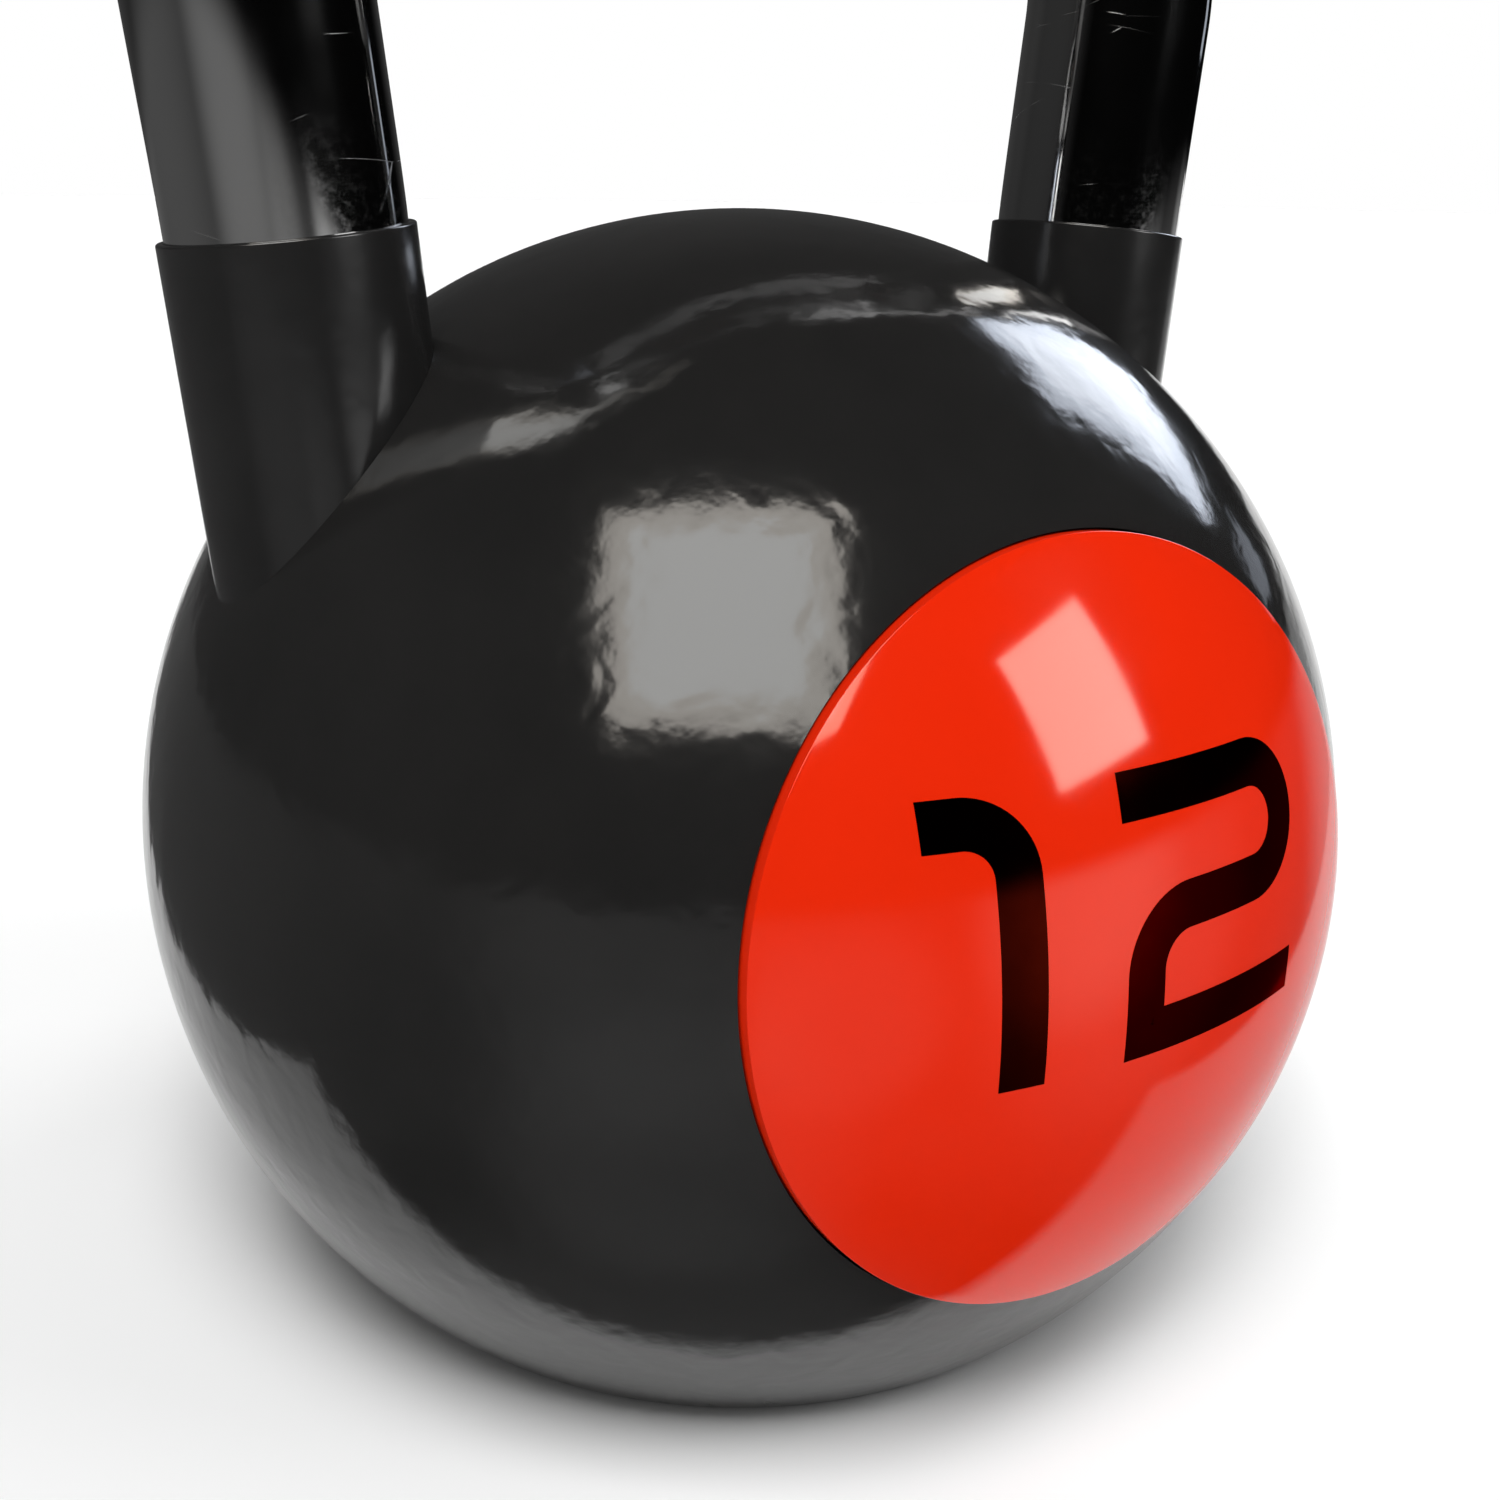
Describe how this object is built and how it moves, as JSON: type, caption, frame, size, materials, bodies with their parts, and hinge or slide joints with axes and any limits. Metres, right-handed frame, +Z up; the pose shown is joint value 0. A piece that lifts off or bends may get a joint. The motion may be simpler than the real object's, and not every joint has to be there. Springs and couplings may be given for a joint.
{
  "type": "kettlebell",
  "caption": "Glossy black urethane-covered kettlebell with a polished black chrome bar handle, thin leg cuffs, a flat base and a red domed weight badge.",
  "frame": {"origin": "centre of the foot pad's flat underside, on the ball's vertical axis", "axes": "+Z up from the base to the grip; the grip runs along X; the badge faces -Y"},
  "size_m": [0.18, 0.181, 0.246],
  "materials": {
    "cover": "glossy black cast urethane with a fine orange-peel surface",
    "cuff": "smooth black urethane sleeve, satin to glossy",
    "handle": "polished black chrome on steel bar, fine hand-wear scratches",
    "core": "sand-cast iron, unpainted, machined at the seats and flat",
    "plug": "turned steel",
    "weld": "as-welded steel bead",
    "badge": "high-gloss red moulded cap",
    "numeral": "gloss black inlay, flush with the cap",
    "adhesive": "bonding layer",
    "pad": "matt moulded rubber"
  },
  "bodies": {
    "root": {"ball_cover": "cover", "left_cuff": "cuff", "right_cuff": "cuff", "handle_bar": "handle", "core_casting": "core", "core_plug": "plug", "left_weld_bead": "weld", "right_weld_bead": "weld", "badge_cap": "badge", "numeral_one": "numeral", "numeral_two": "numeral", "badge_adhesive": "adhesive", "pad_adhesive": "adhesive", "base_pad": "pad"}
  },
  "joints": []
}
